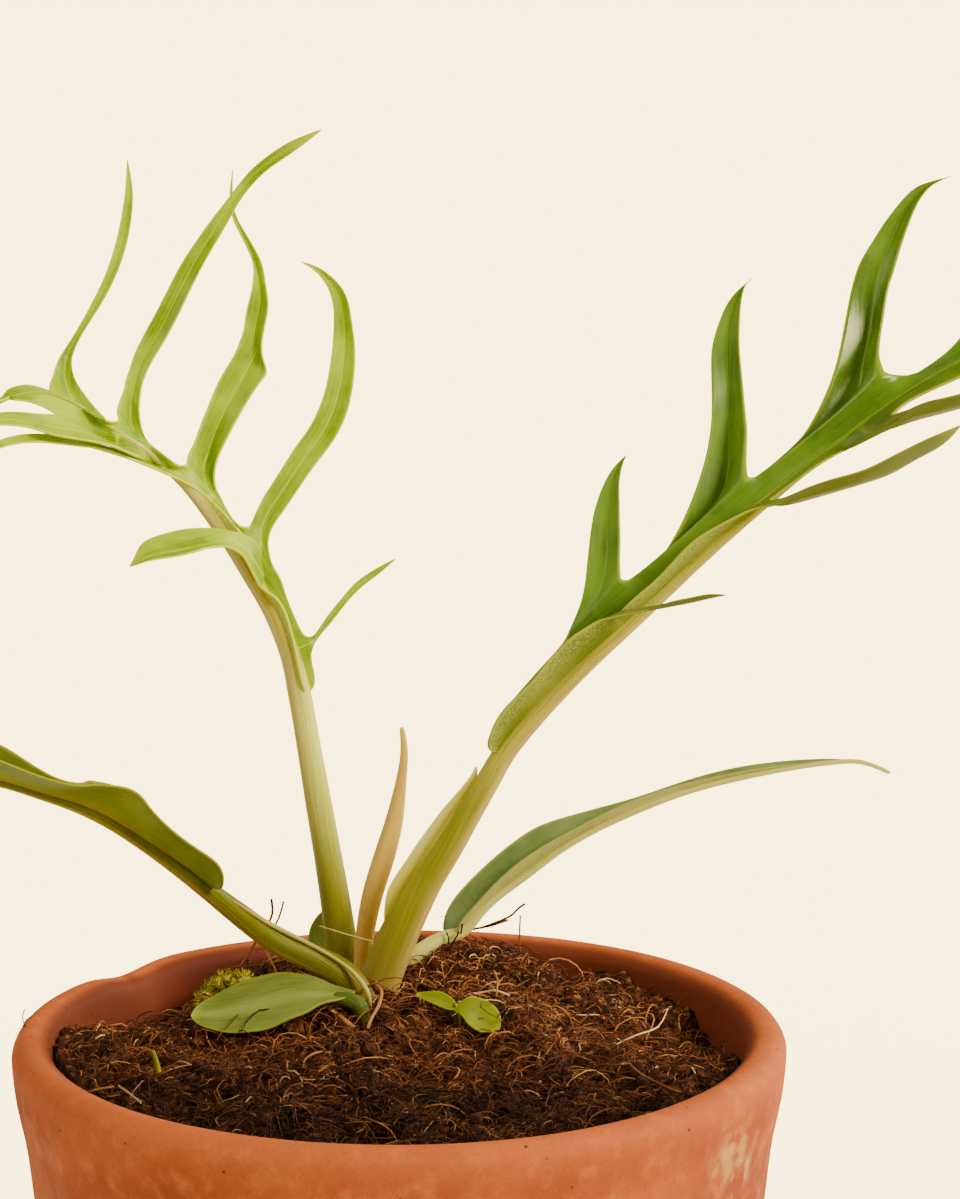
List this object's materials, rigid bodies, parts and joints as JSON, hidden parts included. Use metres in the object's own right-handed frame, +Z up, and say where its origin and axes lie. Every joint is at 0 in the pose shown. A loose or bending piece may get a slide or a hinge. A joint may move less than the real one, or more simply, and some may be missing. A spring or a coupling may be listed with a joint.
{
  "type": "potted philodendron tortum",
  "caption": "Young divided-leaf philodendron standing in a round clay pot of fibrous soil, with narrow curling leaf lobes, for placing on a shelf or table.",
  "frame": {"origin": "middle of the pot's underside, on the surface it stands on", "axes": "+Z up; -Y towards the front of the plant, +X towards the right divided leaf"},
  "size_m": [0.1606, 0.091, 0.1834],
  "materials": {
    "clay": "unglazed, fired orange clay with pale mineral stains",
    "soil": "damp dark brown potting mix with tan coir fibres",
    "stem": "pale tan rind",
    "deep_green_leaf": "glossy deep green blade with a pale yellow-green stalk",
    "lime_leaf": "satin bright lime",
    "olive_leaf": "satin olive with a tan midrib",
    "grey_green_leaf": "satin grey-green with a pale underside",
    "dry_sheath": "dry orange-tan",
    "moss": "matt yellow-green"
  },
  "bodies": {
    "root": {"pot": "clay", "soil": "soil", "stem_base": "stem", "leaf_right_divided": "deep_green_leaf", "leaf_left_divided": "lime_leaf", "leaf_left_arching": "olive_leaf", "leaf_right_strap": "grey_green_leaf", "leaf_small_front": "grey_green_leaf", "leaf_small_back": "grey_green_leaf", "dry_spike": "dry_sheath", "seedling": "lime_leaf", "small_shoot": "lime_leaf", "moss": "moss"}
  },
  "joints": []
}
